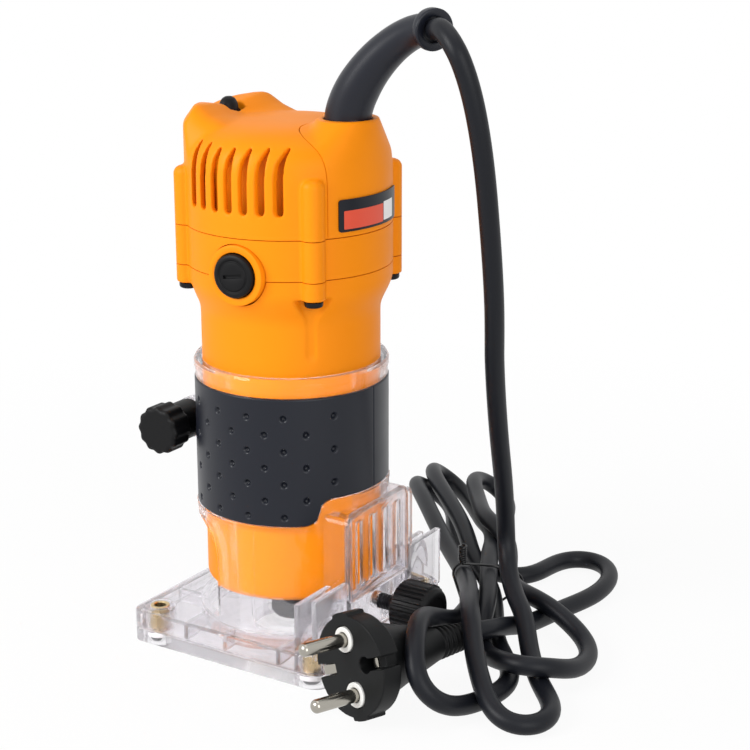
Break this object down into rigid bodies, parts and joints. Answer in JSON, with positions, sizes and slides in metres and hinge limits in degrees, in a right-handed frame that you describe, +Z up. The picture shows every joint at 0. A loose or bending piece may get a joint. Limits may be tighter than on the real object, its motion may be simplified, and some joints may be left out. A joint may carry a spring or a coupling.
{
  "type": "trim router",
  "caption": "Compact trim router: orange motor body sliding in a clear base with a rubber grip, clamp knob, chip deflector and guide knob, with its mains cord folded and tied beside it.",
  "frame": {"origin": "on the surface it stands on, under the middle of the machine's own box, without its cord", "axes": "+Z up along the spindle, +X towards the window and the guide knob, +Y towards the side where the cord lies"},
  "size_m": [0.1747, 0.2306, 0.236],
  "materials": {
    "orange_housing": "satin moulded",
    "clear_plastic": "clear moulded",
    "charcoal_rubber": "matt moulded",
    "black_plastic": "satin moulded",
    "cord_sheath": "satin extruded",
    "tie_wire": "coated wire",
    "plug_plastic": "satin moulded",
    "white_plastic": "moulded",
    "nickel": "plated",
    "brass": "turned",
    "steel": "turned",
    "black_steel": "blackened",
    "copper": "drawn copper",
    "carbon": "pressed",
    "blank_label": "printed film"
  },
  "bodies": {
    "base": {"base_body": "clear_plastic", "sole_plate": "clear_plastic", "grip_sleeve": "charcoal_rubber", "sole_insert_1": "brass", "sole_insert_2": "brass", "sole_insert_3": "brass", "sole_insert_4": "brass", "sole_screw_1": "steel", "sole_screw_2": "steel", "sole_screw_3": "steel", "sole_screw_4": "steel", "clamp_bolt": "steel", "cord_bundle": "cord_sheath", "cord_tie": "tie_wire", "plug_body": "plug_plastic", "plug_pin_1": "nickel", "plug_pin_2": "nickel", "pin_collar_1": "white_plastic", "pin_collar_2": "white_plastic"},
    "motor": {"motor_housing": "orange_housing", "middle_band": "orange_housing", "top_cover": "orange_housing", "cord_cover": "orange_housing", "nameplate": "blank_label", "head_screw_1": "black_steel", "head_screw_2": "black_steel", "head_screw_3": "black_steel", "head_screw_4": "black_steel", "brush_cap_1": "black_plastic", "brush_cap_2": "black_plastic", "brush_holder_1": "brass", "brush_holder_2": "brass", "carbon_brush_1": "carbon", "carbon_brush_2": "carbon", "stator_core": "steel", "field_coil_1": "copper", "field_coil_2": "copper", "upper_bearing": "steel", "lower_bearing": "steel", "cord_guard": "charcoal_rubber", "cord_drop": "cord_sheath"},
    "spindle": {"spindle_shaft": "steel", "armature_core": "steel", "commutator": "copper", "cooling_fan": "black_plastic", "collet": "steel"},
    "collet_nut": {"collet_nut": "black_steel"},
    "switch": {"switch_rocker": "black_plastic"},
    "clamp": {"clamp_knob": "black_plastic"},
    "guide": {"guide_knob": "black_plastic", "guide_stud": "black_steel"},
    "deflector": {"chip_deflector": "clear_plastic"}
  },
  "joints": [
    {"name": "motor_slide", "type": "slide", "parent": "base", "child": "motor", "axis": [0, 0, 1], "range_m": [-0.006, 0.045], "deforming": ["cord_drop"]},
    {"name": "spindle_spin", "type": "hinge", "parent": "motor", "child": "spindle", "pos_m": [-0.00576, 0, 0.0304], "axis": [0, 0, 1], "continuous": true},
    {"name": "collet_nut_turn", "type": "hinge", "parent": "spindle", "child": "collet_nut", "pos_m": [-0.00576, 0, 0.007], "axis": [0, 0, 1], "continuous": true},
    {"name": "switch_rock", "type": "hinge", "parent": "motor", "child": "switch", "pos_m": [-0.03126, 0, 0.1918], "axis": [0, 1, 0], "range_deg": [-12, 12]},
    {"name": "clamp_knob_turn", "type": "hinge", "parent": "base", "child": "clamp", "pos_m": [-0.04704, -0.008, 0.079], "axis": [0, -1, 0], "continuous": true},
    {"name": "guide_knob_turn", "type": "hinge", "parent": "base", "child": "guide", "pos_m": [0.03324, 0, 0.0195], "axis": [1, 0, 0], "continuous": true},
    {"name": "deflector_lift", "type": "slide", "parent": "base", "child": "deflector", "axis": [0, 0, 1], "range_m": [0, 0.036]}
  ]
}
